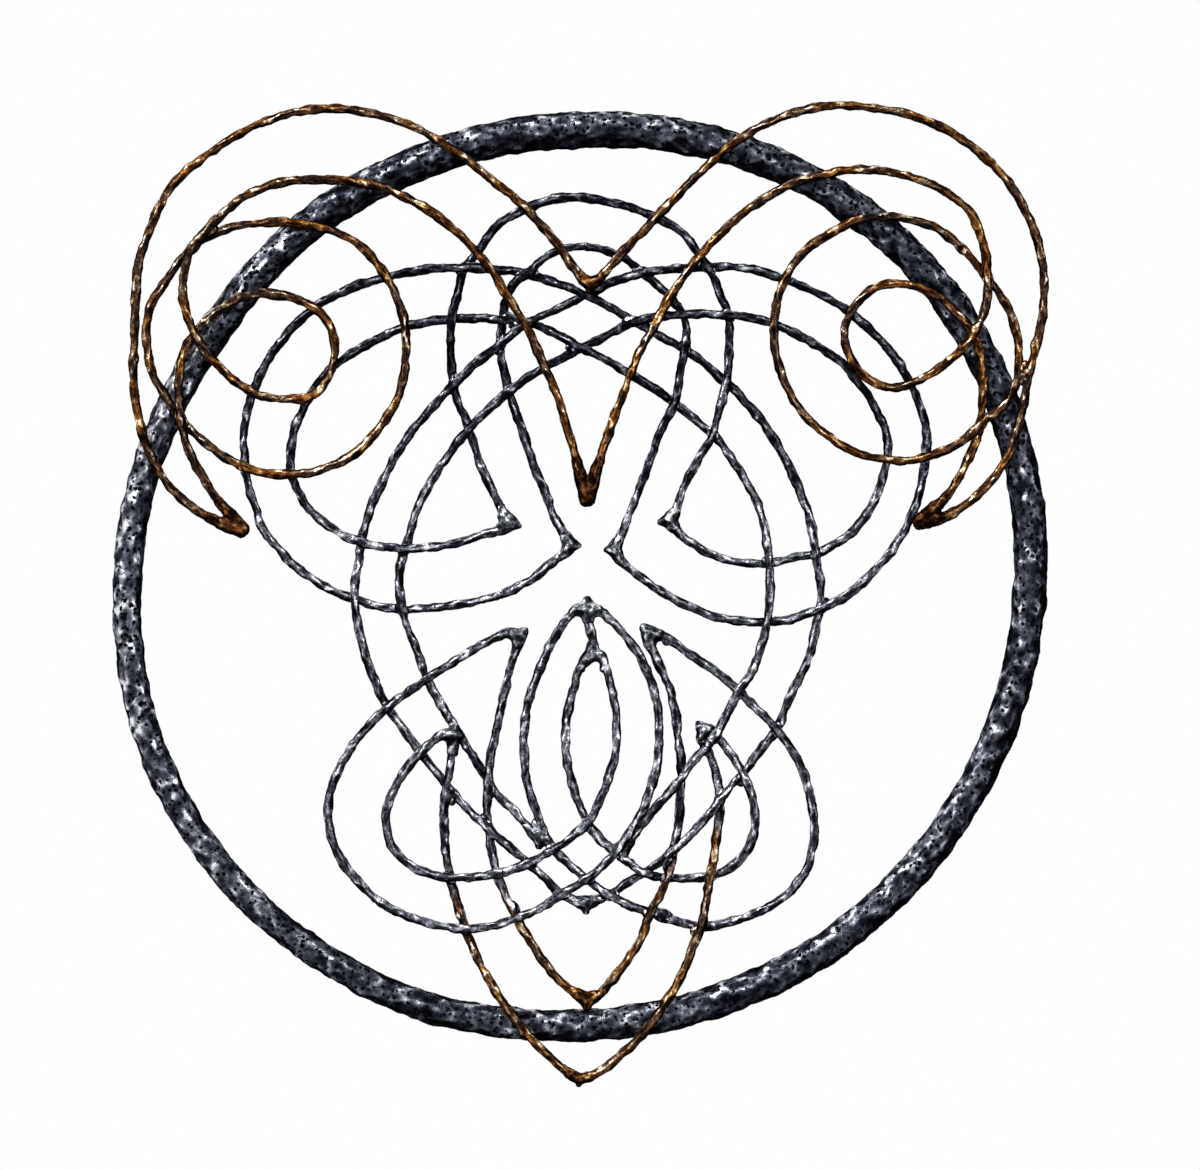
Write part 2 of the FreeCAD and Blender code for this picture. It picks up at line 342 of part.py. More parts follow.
def spot(sheet, share):
    """A place on a rod's centre line from its shares and its layer."""
    across, up, lift = share
    clear = (sheet.bar_diameter + sheet.rod_diameter) / 2 + sheet.rod_gap
    layer = sheet.rod_diameter + sheet.rod_gap
    return Vector(
        across * sheet.hoop_radius,
        hoop_depth(sheet) - clear + (HOOP_LAYER - lift) * layer,
        hoop_drop(sheet) + up * sheet.hoop_radius,
    )


def unit(line):
    return Vector(line).normalize()


def travel_ways(places, closed):
    """The way the bar runs at each place, as if on a circle through its two neighbours."""
    count = len(places)
    ways = [None] * count
    for here in range(count):
        if closed or 0 < here < count - 1:
            before = places[here] - places[here - 1]
            after = places[(here + 1) % count] - places[here]
            ways[here] = unit(unit(before) * after.Length + unit(after) * before.Length)
    if not closed:
        first = unit(places[1] - places[0])
        last = unit(places[-1] - places[-2])
        ways[0] = first * (2 * first.dot(ways[1])) - ways[1]
        ways[-1] = last * (2 * last.dot(ways[-2])) - ways[-2]
    return ways


def arc_edge(start, way, end):
    """One bend: the arc that leaves start along way and reaches end, or a straight piece."""
    chord = end - start
    aside = chord - way * chord.dot(way)
    if aside.Length < chord.Length / 100000:
        return Part.LineSegment(start, end).toShape()
    inward = unit(aside)
    bend = chord.dot(chord) / (2 * chord.dot(inward))
    centre = start + inward * bend
    outward = unit(start + chord / 2 - centre)
    if chord.dot(way) < 0:
        outward = -outward
    return Part.Arc(start, centre + outward * bend, end).toShape()


def bend_pair(start, start_way, end, end_way):
    """Two arcs that join two places and run smoothly through both."""
    chord = end - start
    both = start_way + end_way
    spread = 2 * (1 - start_way.dot(end_way))
    along = 2 * chord.dot(both)
    if spread < 1 / 1000000:
        reach = chord.dot(chord) / along
    else:
        root = math.sqrt(along ** 2 + 4 * spread * chord.dot(chord))
        reach = (root - along) / (2 * spread)
    near = start + start_way * reach
    far = end - end_way * reach
    middle = (near + far) / 2
    return [arc_edge(start, start_way, middle), arc_edge(middle, unit(far - near), end)]


def route_wire(places, closed):
    """The centre line of one bar, and the way it sets off."""
    ways = travel_ways(places, closed)
    count = len(places)
    edges = []
    for here in range(count if closed else count - 1):
        there = (here + 1) % count
        edges += bend_pair(places[here], ways[here], places[there], ways[there])
    return Part.Wire(edges), ways[0]


def bend_bar(doc, name, places, closed, diameter):
    """One bar: a round section, sized from the sheet, swept along its centre line."""
    wire, way = route_wire(places, closed)
    route = doc.addObject("Part::Feature", "route_" + name)
    route.Shape = wire
    section = doc.addObject("Part::Circle", "section_" + name)
    section.setExpression("Radius", "Sizes." + diameter + " / 2")
    section.Placement = FreeCAD.Placement(places[0], Rotation(Vector(0, 0, 1), way))
    bar = doc.addObject("Part::Sweep", name)
    bar.Label = name
    bar.Sections = [section]
    bar.Spine = (route, [])
    bar.Solid = True
    bar.Frenet = False
    return bar


def make_hoop(doc, sheet):
    """The hoop, a little out of round as it was bent by hand."""
    places = []
    for angle, share in HOOP_SHARES:
        turn = math.radians(angle)
        across = share * math.cos(turn) * sheet.hoop_radius
        up = share * math.sin(turn) * sheet.hoop_radius
        places.append(Vector(across, hoop_depth(sheet), hoop_drop(sheet) + up))
    return bend_bar(doc, "hoop", places, True, "bar_diameter")


def make_rods(doc, sheet):
    """Every rod, each as a piece of its own."""
    rods = {}
    for name, shares, closed in RODS:
        places = [spot(sheet, share) for share in shares]
        rods[name] = bend_bar(doc, name, places, closed, "rod_diameter")
    return rods


def notch(doc, bars, name, blank, held):
    """The weld metal that is left where the bars it holds pass through."""
    weld = blank
    for bar in held:
        cut = doc.addObject("Part::Cut", name if bar == held[-1] else "notch_" + name)
        cut.Base = weld
        cut.Tool = bars[bar]
        weld = cut
    weld.Label = name
    return weld


def make_knob(doc, sheet, bars, knob):
    """One round knob of weld metal, its seam turned to the wall, where no bar cuts it."""
    name, place, size_share, held = knob
    ball = doc.addObject("Part::Sphere", "ball_" + name)
    ball.setExpression("Radius", "Sizes.rod_diameter * " + str(size_share))
    seam_to_wall = Rotation(Vector(1, 0, 0), Vector(0, 1, 0))
    ball.Placement = FreeCAD.Placement(spot(sheet, place), seam_to_wall)
    return notch(doc, bars, name, ball, held)


def make_tip(doc, sheet, bars, tip):
    """One long tip of weld metal, tapered the way it points."""
    name, place, (start_share, end_share, long_share), turn, held = tip
    taper = doc.addObject("Part::Cone", "taper_" + name)
    taper.setExpression("Radius1", "Sizes.rod_diameter * " + str(start_share))
    taper.setExpression("Radius2", "Sizes.rod_diameter * " + str(end_share))
    taper.setExpression("Height", "Sizes.rod_diameter * " + str(long_share))
    pointing = Vector(math.cos(math.radians(turn)), 0, math.sin(math.radians(turn)))
    aim = Rotation(Vector(0, 0, 1), pointing)
    taper.Placement = FreeCAD.Placement(spot(sheet, place), aim)
    return notch(doc, bars, name, taper, held)


def make_sleeve(doc, bars):
    """The hanging sleeve: a short cup from the wall to the hoop's back, notched over the hoop."""
    upright = Rotation(Vector(0, 0, 1), Vector(0, -1, 0))
    blank = doc.addObject("Part::Cylinder", "sleeve_blank")
    blank.setExpression("Radius", "Sizes.sleeve_diameter / 2")
    blank.setExpression("Height", "Sizes.sleeve_length + Sizes.bar_diameter / 2")
    blank.Placement = FreeCAD.Placement(Vector(), upright)
    hole = doc.addObject("Part::Cylinder", "sleeve_hole")
    hole.setExpression("Radius", "Sizes.sleeve_bore / 2")
    hole.setExpression("Height", "Sizes.sleeve_length - Sizes.sleeve_floor")
    hole.Placement = FreeCAD.Placement(Vector(), upright)
    cup = doc.addObject("Part::Cut", "sleeve_cup")
    cup.Base = blank
    cup.Tool = hole
    sleeve = doc.addObject("Part::Cut", "hanging_sleeve")
    sleeve.Label = "hanging_sleeve"
    sleeve.Base = cup
    sleeve.Tool = bars["hoop"]
    return sleeve


def save_parts(doc, pieces):
    """Check every object, then write each piece to its own file."""
    for thing in doc.Objects:
        if "Invalid" in thing.State or "Error" in thing.State:
            raise RuntimeError(thing.Name + " did not build: " + str(thing.State))
    for piece in pieces:
        shape = piece.Shape
        if shape.isNull() or not shape.isValid() or len(shape.Solids) != 1:
            raise RuntimeError(piece.Label + " is not one valid solid")
    os.makedirs("parts", exist_ok=True)
    for piece in pieces:
        piece.Shape.exportStep("parts/" + piece.Label + ".step")
        print(piece.Label, "volume", round(piece.Shape.Volume, 1))


doc = FreeCAD.newDocument("knot_sculpture")
sheet = make_sheet(doc)
bars = {"hoop": make_hoop(doc, sheet)}
bars.update(make_rods(doc, sheet))
welds = [make_knob(doc, sheet, bars, knob) for knob in KNOB_SHARES]
welds += [make_tip(doc, sheet, bars, tip) for tip in TIP_SHARES]
sleeve = make_sleeve(doc, bars)
doc.recompute()
save_parts(doc, list(bars.values()) + welds + [sleeve])
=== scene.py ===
# %% [markdown]
# # A ram's head in welded rod
# This lesson dresses a knotwork ram's head: bent steel rods, laid over and under each other and
# welded inside a heavy hoop. The sizes are already settled in the imported frame. What is left
# is how the metal looks: rods lumpy with weld metal, a pitted hoop, small beads in the corners
# where rods cross, and two finishes, blue-grey gunmetal and brown bronze.

import math

import bmesh
import bpy
import numpy as np
from mathutils import Euler, Matrix, Vector
from mathutils.kdtree import KDTree


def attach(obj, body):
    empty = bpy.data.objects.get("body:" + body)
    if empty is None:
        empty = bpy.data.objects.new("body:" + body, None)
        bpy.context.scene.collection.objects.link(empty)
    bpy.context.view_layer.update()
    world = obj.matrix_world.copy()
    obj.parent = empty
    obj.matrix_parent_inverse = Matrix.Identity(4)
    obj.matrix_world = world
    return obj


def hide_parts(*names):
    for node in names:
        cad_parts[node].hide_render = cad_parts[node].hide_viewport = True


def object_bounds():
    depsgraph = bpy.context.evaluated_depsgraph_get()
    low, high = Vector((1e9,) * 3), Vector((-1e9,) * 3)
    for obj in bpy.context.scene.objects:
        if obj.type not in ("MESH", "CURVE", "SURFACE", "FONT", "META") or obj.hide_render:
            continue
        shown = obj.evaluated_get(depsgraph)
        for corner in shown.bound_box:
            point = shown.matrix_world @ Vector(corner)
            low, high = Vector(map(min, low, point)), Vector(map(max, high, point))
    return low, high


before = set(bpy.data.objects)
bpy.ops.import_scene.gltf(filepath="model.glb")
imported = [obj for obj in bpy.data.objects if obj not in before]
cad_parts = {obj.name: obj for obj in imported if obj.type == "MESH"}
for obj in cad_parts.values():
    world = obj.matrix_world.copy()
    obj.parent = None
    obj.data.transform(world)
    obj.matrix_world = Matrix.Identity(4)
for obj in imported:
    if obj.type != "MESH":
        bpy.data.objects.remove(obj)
cad_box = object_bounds()
low, high = Vector(cad_box[0]), Vector(cad_box[1])
print("frame box", low, high)

# %% [markdown]
# The bars fall into families. A family shares a finish and a size of lump, so each is named once
# here and the cells below only ask for the family.

# %% Name the pieces
rod_radius = 0.003175
hoop_centre_height = -0.2951
hoop_radius = 0.296

horn_rods = ["horn_outer_left", "horn_outer_right", "horn_inner_left", "horn_inner_right",
             "horn_circle_left", "horn_circle_right"]
face_rods = ["brow_outer", "brow_inner", "ear_outer_left", "ear_outer_right",
             "ear_inner_left", "ear_inner_right", "cheek_outer_left", "cheek_outer_right",
             "cheek_inner_left", "cheek_inner_right", "nose_link"]
chin_rods = ["chin_inner_left", "chin_inner_right", "chin_outer_left", "chin_outer_right"]
bronze_welds = ["weld_horn_tip_left", "weld_horn_tip_right", "weld_horn_peak",
                "weld_horn_point", "weld_chin_inner", "weld_chin_point"]
grey_welds = sorted(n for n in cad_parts
                    if n.startswith("weld_") and n not in bronze_welds)
print(len(horn_rods + face_rods + chin_rods), "rods,", len(bronze_welds + grey_welds), "welds")


# %% [markdown]
# Old welded steel is not one colour. Soot and oil sit in the hollows, the tops of the lumps are
# rubbed bright, and patches differ in hue. The colour also carries painted light: painted shade
# underneath and on the side turned from the lamp, painted shade in the hollows and painted
# highlights on the tops. All the finishes need the same masks, so they are worked out once, in a
# shader node group. Tone runs from a black hollow to a bright top, partly wear and partly
# painted shade and painted highlight, Patch tells where the second hue lies, Pit marks small
# holes and
# Relief is their depth. Each material places the group with its own sizes.

# %% A small helper for wiring nodes
def wire(tree, kind, settings=None, **links):
    """Adds a node. Settings are its own values; links are its inputs, a value or a socket."""
    node = tree.nodes.new(kind)
    for name, value in (settings or {}).items():
        setattr(node, name, value)
    for name, value in links.items():
        socket = node.inputs[int(name[1:])] if name[0] == "n" and name[1:].isdigit() \
            else node.inputs[name.replace("_", " ")]
        if isinstance(value, bpy.types.NodeSocket):
            tree.links.new(value, socket)
        else:
            socket.default_value = value
    return node


def new_sockets(tree, ins, outs):
    """Names a tree's inputs and outputs; ins are (name, kind, value) and outs (name, kind)."""
    for name, kind, value in ins:
        socket = tree.interface.new_socket(name, in_out="INPUT", socket_type=kind)
        if value is not None:
            socket.default_value = value
    for name, kind in outs:
        tree.interface.new_socket(name, in_out="OUTPUT", socket_type=kind)


# %% Build the group of metal masks
def build_wear_and_painted_light():
    tree = bpy.data.node_groups.new("wear_and_painted_light_masks", "ShaderNodeTree")
    new_sockets(tree,
                [("Place", "NodeSocketVector", None), ("Lump", "NodeSocketFloat", 0.5),
                 ("Facing", "NodeSocketFloat", 0.5), ("Patch size", "NodeSocketFloat", 60.0),
                 ("Fleck size", "NodeSocketFloat", 420.0),
                 ("Pit size", "NodeSocketFloat", 330.0), ("Pit share", "NodeSocketFloat", 0.3),
                 ("Contrast", "NodeSocketFloat", 1.5)],
                [("Tone", "NodeSocketFloat"), ("Patch", "NodeSocketFloat"),
                 ("Pit", "NodeSocketFloat"), ("Relief", "NodeSocketFloat")])
    given = tree.nodes.new("NodeGroupInput").outputs
    out = tree.nodes.new("NodeGroupOutput")
    broad = wire(tree, "ShaderNodeTexNoise", Vector=given["Place"], Scale=given["Patch size"],
                 Detail=4.0, Roughness=0.6)
    fine = wire(tree, "ShaderNodeTexNoise", Vector=given["Place"], Scale=given["Fleck size"],
                Detail=3.0, Roughness=0.6)
    patch = wire(tree, "ShaderNodeMapRange", n0=broad.outputs[0], n1=0.42, n2=0.58)

    def sum_of(*terms):
        total = terms[0]
        for term in terms[1:]:
            total = wire(tree, "ShaderNodeMath", {"operation": "ADD"}, n0=total,
                         n1=term).outputs[0]
        return total

    def weighed(value, weight):
        return wire(tree, "ShaderNodeMath", {"operation": "MULTIPLY"}, n0=value,
                    n1=weight).outputs[0]

    # Tone: lump height (partly wear, partly painted highlight on tops and painted shade in
    # hollows), plus the painted light of Lit facing and random flecks.
    raw = sum_of(weighed(given["Lump"], 0.70), weighed(given["Facing"], 0.34),
                 weighed(fine.outputs[0], 0.40), -1.20)
    tone = sum_of(weighed(sum_of(raw, 0.50), given["Contrast"]), 0.50)
    tone = wire(tree, "ShaderNodeClamp", Value=tone)
    tear = wire(tree, "ShaderNodeVectorMath", {"operation": "SUBTRACT"}, n0=fine.outputs[1],
                n1=(0.5, 0.5, 0.5))
    tear = wire(tree, "ShaderNodeVectorMath", {"operation": "SCALE"}, n0=tear.outputs[0],
                Scale=0.004)
    torn = wire(tree, "ShaderNodeVectorMath", {"operation": "ADD"}, n0=given["Place"],
                n1=tear.outputs[0])
    cells = wire(tree, "ShaderNodeTexVoronoi", {"feature": "F1"}, Vector=torn.outputs[0],
                 Scale=given["Pit size"], Randomness=1.0)
    inner = weighed(broad.outputs[0], given["Pit share"])
    pit = wire(tree, "ShaderNodeMapRange", n0=cells.outputs["Distance"], n1=inner,
               n2=sum_of(inner, 0.12), n3=1.0, n4=0.0)
    rise = wire(tree, "ShaderNodeMath", {"operation": "SUBTRACT"}, n0=fine.outputs[0],
                n1=pit.outputs[0])
    for name, node in (("Tone", tone), ("Patch", patch), ("Pit", pit), ("Relief", rise)):
        tree.links.new(node.outputs[0], out.inputs[name])
    return tree


wear_and_painted_light = build_wear_and_painted_light()
print("masks:", [s.name for s in wear_and_painted_light.interface.items_tree])


# %% [markdown]
# A finish is two rows of colours, each from the black hollows to the bright tops, partly wear
# and partly painted shade and painted highlight: one row for most of the metal and one for its
# patches.
# The lumps come later, as real geometry. There each point keeps its height in an attribute
# called lump and, as painted light, how far it faces the lit side in one called lit_facing; the
# material reads both.

# %% Build one finish
tone_marks = (0.08, 0.30, 0.50, 0.68, 0.84, 0.98)
relief_depth = 0.0008


def mix(tree, share, under, over):
    """One colour laid over another by a share."""
    node = tree.nodes.new("ShaderNodeMix")
    node.data_type = "RGBA"
    for socket, value in ((node.inputs[0], share), (node.inputs[6], under),
                          (node.inputs[7], over)):
        if isinstance(value, bpy.types.NodeSocket):
            tree.links.new(value, socket)
        else:
            socket.default_value = value
    return node.outputs[2]


def tone_colours(tree, tone, colours):
    """A row of colours read off by the tone."""
    ramp = wire(tree, "ShaderNodeValToRGB", Fac=tone)
    marks = ramp.color_ramp.elements
    marks.remove(marks[1])
    marks[0].position = tone_marks[0]
    marks[0].color = (*colours[0], 1)
    for mark, colour in zip(tone_marks[1:], colours[1:]):
        marks.new(mark).color = (*colour, 1)
    return ramp.outputs["Color"]


def place_masks(tree, sizes, pit_share, contrast):
    """The group of masks with its own sizes, reading the lump attribute and the painted light
    that the lumps left.
    """
    masks = tree.nodes.new("ShaderNodeGroup")
    masks.node_tree = wear_and_painted_light
    tree.links.new(tree.nodes.new("ShaderNodeTexCoord").outputs["Object"],
                   masks.inputs["Place"])
    for socket, key in (("Lump", "lump"), ("Facing", "lit_facing")):
        kept = wire(tree, "ShaderNodeAttribute", {"attribute_name": key})
        tree.links.new(kept.outputs["Fac"], masks.inputs[socket])
    for socket, value in zip(("Patch size", "Fleck size", "Pit size"), sizes):
        masks.inputs[socket].default_value = value
    masks.inputs["Pit share"].default_value = pit_share
    masks.inputs["Contrast"].default_value = contrast
    return masks


def wear_and_painted_light_colour(tree, masks, main, patch):
    """The colour of worn metal with its painted light, from its two rows of colours."""
    base = mix(tree, masks.outputs["Patch"], tone_colours(tree, masks.outputs["Tone"], main),
               tone_colours(tree, masks.outputs["Tone"], patch))
    return mix(tree, masks.outputs["Pit"], base, (*main[0], 1))


def metal_finish(name, main, patch, sizes, pit_share=0.3, contrast=1.5, rough=(0.30, 0.55),
                 bump=0.6):
    """A worn metal with its own colours and its painted light."""
    finish = bpy.data.materials.new(name)
    finish.use_nodes = True
    tree = finish.node_tree
    shader = tree.nodes["Principled BSDF"]
    masks = place_masks(tree, sizes, pit_share, contrast)
    tree.links.new(wear_and_painted_light_colour(tree, masks, main, patch), shader.inputs["Base Color"])
    grain = wire(tree, "ShaderNodeMapRange", n0=masks.outputs["Tone"], n3=rough[1], n4=rough[0])
    tree.links.new(grain.outputs[0], shader.inputs["Roughness"])
    shader.inputs["Metallic"].default_value = 1.0
    shader.inputs["Specular Tint"].default_value = (0.12, 0.12, 0.13, 1)
    relief = wire(tree, "ShaderNodeBump", Height=masks.outputs["Relief"], Strength=bump,
                  Distance=relief_depth)
    tree.links.new(relief.outputs[0], shader.inputs["Normal"])
    return finish


# %% Make the finishes
# Each row runs from a black hollow to a near-white top; the dark end is partly painted shade and
# the bright end partly painted highlight and glint.
steel_tones = [(0.0018, 0.0020, 0.0026), (0.0055, 0.006, 0.008), (0.032, 0.034, 0.041),
               (0.13, 0.138, 0.156), (0.42, 0.43, 0.46), (0.90, 0.91, 0.93)]
violet_tones = [(0.0020, 0.0018, 0.0034), (0.0060, 0.0056, 0.0100), (0.030, 0.030, 0.042),
                (0.11, 0.11, 0.136), (0.36, 0.36, 0.40), (0.84, 0.84, 0.87)]
hoop_tones = [(0.0022, 0.0024, 0.0035), (0.0085, 0.009, 0.0135), (0.024, 0.026, 0.036),
              (0.060, 0.064, 0.082), (0.20, 0.21, 0.25), (0.74, 0.75, 0.79)]
hoop_patch = [(0.0025, 0.0025, 0.0035), (0.012, 0.013, 0.018), (0.038, 0.041, 0.053),
              (0.100, 0.105, 0.128), (0.32, 0.33, 0.36), (0.84, 0.85, 0.88)]
bronze_tones = [(0.0022, 0.0014, 0.0012), (0.0110, 0.0042, 0.0022), (0.050, 0.0180, 0.0052),
                (0.140, 0.055, 0.0135), (0.32, 0.165, 0.052), (0.78, 0.66, 0.48)]
umber_tones = [(0.0022, 0.0018, 0.0020), (0.0080, 0.0050, 0.0048), (0.028, 0.0155, 0.0110),
               (0.080, 0.047, 0.028), (0.26, 0.18, 0.105), (0.74, 0.69, 0.60)]
hot_tones = [(0.003, 0.0015, 0.001), (0.020, 0.008, 0.004), (0.085, 0.033, 0.011),
             (0.21, 0.090, 0.030), (0.46, 0.26, 0.11), (0.86, 0.78, 0.58)]

gunmetal_hoop = metal_finish("gunmetal_hoop", hoop_tones, hoop_patch, (38.0, 380.0, 250.0),
                             pit_share=0.50, rough=(0.28, 0.5), bump=0.9)
gunmetal_rod = metal_finish("gunmetal_rod", steel_tones, violet_tones, (60.0, 600.0, 420.0))
bronze_rod = metal_finish("bronze_rod", bronze_tones, umber_tones, (34.0, 560.0, 420.0))
weld_grey = metal_finish("weld_grey", steel_tones, steel_tones, (160.0, 600.0, 420.0))
weld_bronze = metal_finish("weld_bronze", hot_tones, bronze_tones, (90.0, 560.0, 420.0))
sleeve_steel = metal_finish("sleeve_steel", steel_tones, steel_tones, (120.0, 900.0, 500.0),
                            pit_share=0.12, contrast=0.6)
print("finishes:", [m.name for m in bpy.data.materials])


# %% [markdown]
# The lumps are geometry, made by one Geometry Nodes tree that every bar goes through. Broad
# waves of noise change the thickness along the bar. Over them runs a finer noise and a field of
# rounded cells, and these two read the skin's direction as well as its place. Round a bar the
# direction turns quickly and along it hardly at all, so the pattern draws out into streaks that
# follow the bar, like metal laid down by a torch. A darkening share lowers a bar's lump value,
# and so its colour, beyond a height along the darkening way, and a negative share makes it
# brighter there.

# %% Keep the lump attribute and the painted light
# The side the painted light comes from: skin turned towards it is coloured lighter, skin turned
# away darker.
lit_side = (-0.22, -0.74, 0.64)


def keep_lump_and_painted_light(tree, shape, lump, outward, side):
    """Stores how high each point stands and, as painted light, how far it faces the lit side.
    Front and back count alike, so the skin behind gets as much painted light as the skin in
    front."""
    kept = wire(tree, "GeometryNodeStoreNamedAttribute",
                {"data_type": "FLOAT", "domain": "POINT"}, Geometry=shape, Name="lump",
                Value=lump)
    # Painted light: facing the lit side makes the colour lighter, facing away or down makes it
    # darker.
    parts = wire(tree, "ShaderNodeSeparateXYZ", Vector=outward)
    depth = wire(tree, "ShaderNodeMath", {"operation": "ABSOLUTE"}, n0=parts.outputs["Y"])
    depth = wire(tree, "ShaderNodeMath", {"operation": "MULTIPLY"}, n0=depth.outputs[0],
                 n1=-1.0)
    folded = wire(tree, "ShaderNodeCombineXYZ", X=parts.outputs["X"], Y=depth.outputs[0],
                  Z=parts.outputs["Z"])
    lit_facing = wire(tree, "ShaderNodeVectorMath", {"operation": "DOT_PRODUCT"},
                  n0=folded.outputs[0], n1=side).outputs["Value"]
    lit_facing = wire(tree, "ShaderNodeMapRange", n0=lit_facing, n1=-0.20, n2=1.0).outputs[0]
    kept = wire(tree, "GeometryNodeStoreNamedAttribute",
                {"data_type": "FLOAT", "domain": "POINT"}, Geometry=kept.outputs[0],
                Name="lit_facing", Value=lit_facing)
    return kept.outputs[0]


# %% Build the tree of lumps
darkening_fade = 0.10


def build_lumpy_bar():
    tree = bpy.data.node_groups.new("lumpy_bar", "GeometryNodeTree")
    new_sockets(tree,
                [("Bar", "NodeSocketGeometry", None), ("Wave size", "NodeSocketFloat", 0.012),
                 ("Wave height", "NodeSocketFloat", 0.0024),
                 ("Bead size", "NodeSocketFloat", 0.005),
                 ("Bead height", "NodeSocketFloat", 0.0016),
                 ("Streak", "NodeSocketFloat", 1.2), ("Thin", "NodeSocketFloat", 0.0),
                 ("Lit side", "NodeSocketVector", lit_side),
                 ("Darkening", "NodeSocketFloat", 0.0), ("Darkening height", "NodeSocketFloat", -0.15),
                 ("Darkening way", "NodeSocketVector", (0.0, 0.0, 1.0)),
                 ("Seed", "NodeSocketFloat", 0.0),
                 ("Finish", "NodeSocketMaterial", None)],
                [("Bar", "NodeSocketGeometry")])
    given = tree.nodes.new("NodeGroupInput").outputs
    out = tree.nodes.new("NodeGroupOutput")
    place = tree.nodes.new("GeometryNodeInputPosition").outputs[0]
    outward = tree.nodes.new("GeometryNodeInputNormal").outputs[0]

    def sum_of(first, second, operation="ADD"):
        return wire(tree, "ShaderNodeMath", {"operation": operation}, n0=first,
                    n1=second).outputs[0]

    def scaled(vector, share):
        return wire(tree, "ShaderNodeVectorMath", {"operation": "SCALE"}, n0=vector,
                    Scale=share).outputs[0]

    even = wire(tree, "GeometryNodeBlurAttribute", {"data_type": "FLOAT_VECTOR"},
                Value=outward, Iterations=3).outputs[0]
    along = scaled(place, sum_of(1.0, given["Bead size"], "DIVIDE"))
    drawn = wire(tree, "ShaderNodeVectorMath", {"operation": "ADD"}, n0=along,
                 n1=scaled(even, given["Streak"])).outputs[0]
    wave = wire(tree, "ShaderNodeTexNoise", {"noise_dimensions": "4D"}, Vector=place,
                W=given["Seed"], Scale=sum_of(1.0, given["Wave size"], "DIVIDE"), Detail=1.0)
    bead = wire(tree, "ShaderNodeTexVoronoi",
                {"voronoi_dimensions": "4D", "feature": "SMOOTH_F1"}, Vector=drawn,
                W=given["Seed"], Scale=1.0, Smoothness=0.3)
    rough = wire(tree, "ShaderNodeTexNoise", {"noise_dimensions": "4D"}, Vector=drawn,
                 W=given["Seed"], Scale=1.0, Detail=2.0, Roughness=0.5)
    round_top = wire(tree, "ShaderNodeMapRange", n0=bead.outputs["Distance"], n1=0.15, n2=0.85,
                     n3=1.0, n4=0.0).outputs[0]
    spread = wire(tree, "ShaderNodeMapRange", n0=rough.outputs[0], n1=0.34, n2=0.66).outputs[0]
    share = sum_of(sum_of(round_top, 0.45, "MULTIPLY"), sum_of(spread, 0.55, "MULTIPLY"))
    wave_move = sum_of(sum_of(wave.outputs[0], 0.5, "SUBTRACT"), given["Wave height"],
                       "MULTIPLY")
    wave_move = sum_of(wave_move, given["Thin"], "SUBTRACT")
    bead_move = sum_of(sum_of(share, 0.5, "SUBTRACT"), given["Bead height"], "MULTIPLY")
    moved = wire(tree, "GeometryNodeSetPosition", Geometry=given["Bar"],
                 Offset=scaled(even, sum_of(wave_move, bead_move)))
    height = wire(tree, "ShaderNodeVectorMath", {"operation": "DOT_PRODUCT"}, n0=place,
                  n1=given["Darkening way"]).outputs["Value"]
    top = sum_of(given["Darkening height"], darkening_fade)
    darkening = wire(tree, "ShaderNodeMapRange", n0=height, n1=given["Darkening height"], n2=top)
    shown = sum_of(share, sum_of(darkening.outputs[0], given["Darkening"], "MULTIPLY"), "SUBTRACT")
    kept = keep_lump_and_painted_light(tree, moved.outputs[0], shown, outward, given["Lit side"])
    whole = wire(tree, "GeometryNodeRealizeInstances", Geometry=kept)
    smooth = wire(tree, "GeometryNodeSetShadeSmooth", Geometry=whole.outputs[0])
    dressed = wire(tree, "GeometryNodeSetMaterial", Geometry=smooth.outputs[0],
                   Material=given["Finish"])
    tree.links.new(dressed.outputs[0], out.inputs["Bar"])
    return tree


lumpy_bar = build_lumpy_bar()
print("lumps:", [s.name for s in lumpy_bar.interface.items_tree])


# %% [markdown]
# A bar starts as a merged copy of its node in the frame. A voxel remesh gives it an even skin
# of small faces, the tree above pushes the skin in and out, and the result is baked to a plain
# mesh. Nothing may grow past the frame's own box, so the last step holds every point inside it.

# %% Dress one bar
def set_inputs(modifier, values):
    """Sets a node modifier's inputs by the identifier of the socket with that name."""
    for item in modifier.node_group.interface.items_tree:
        if item.item_type == "SOCKET" and item.in_out == "INPUT" and item.name in values:
            modifier[item.identifier] = values[item.name]


def bake(piece):
    """Turns what the modifiers make into the piece's own plain mesh."""
    bpy.context.view_layer.update()
    ready = piece.evaluated_get(bpy.context.evaluated_depsgraph_get())
    mesh = bpy.data.meshes.new_from_object(ready)
    piece.modifiers.clear()
    piece.data = mesh
    return piece


def skin_points(piece):
    """A piece's points as rows of numbers."""
    spots = np.empty(len(piece.data.vertices) * 3)
    piece.data.vertices.foreach_get("co", spots)
    return spots.reshape(-1, 3)


def move_skin(piece, spots):
    """Gives a piece's points new places."""
    piece.data.vertices.foreach_set("co", spots.ravel())
    piece.data.update()


def hold_inside(piece):
    """Keeps each point inside the frame's box."""
    inset = 1e-5
    move_skin(piece, skin_points(piece).clip(np.array(low) + inset, np.array(high) - inset))


def put_in_place(piece, name):
    """Holds a finished piece inside the box, gives it its body and hides its node if any."""
    hold_inside(piece)
    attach(piece, "root")
    if name:
        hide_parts(name)
    return piece


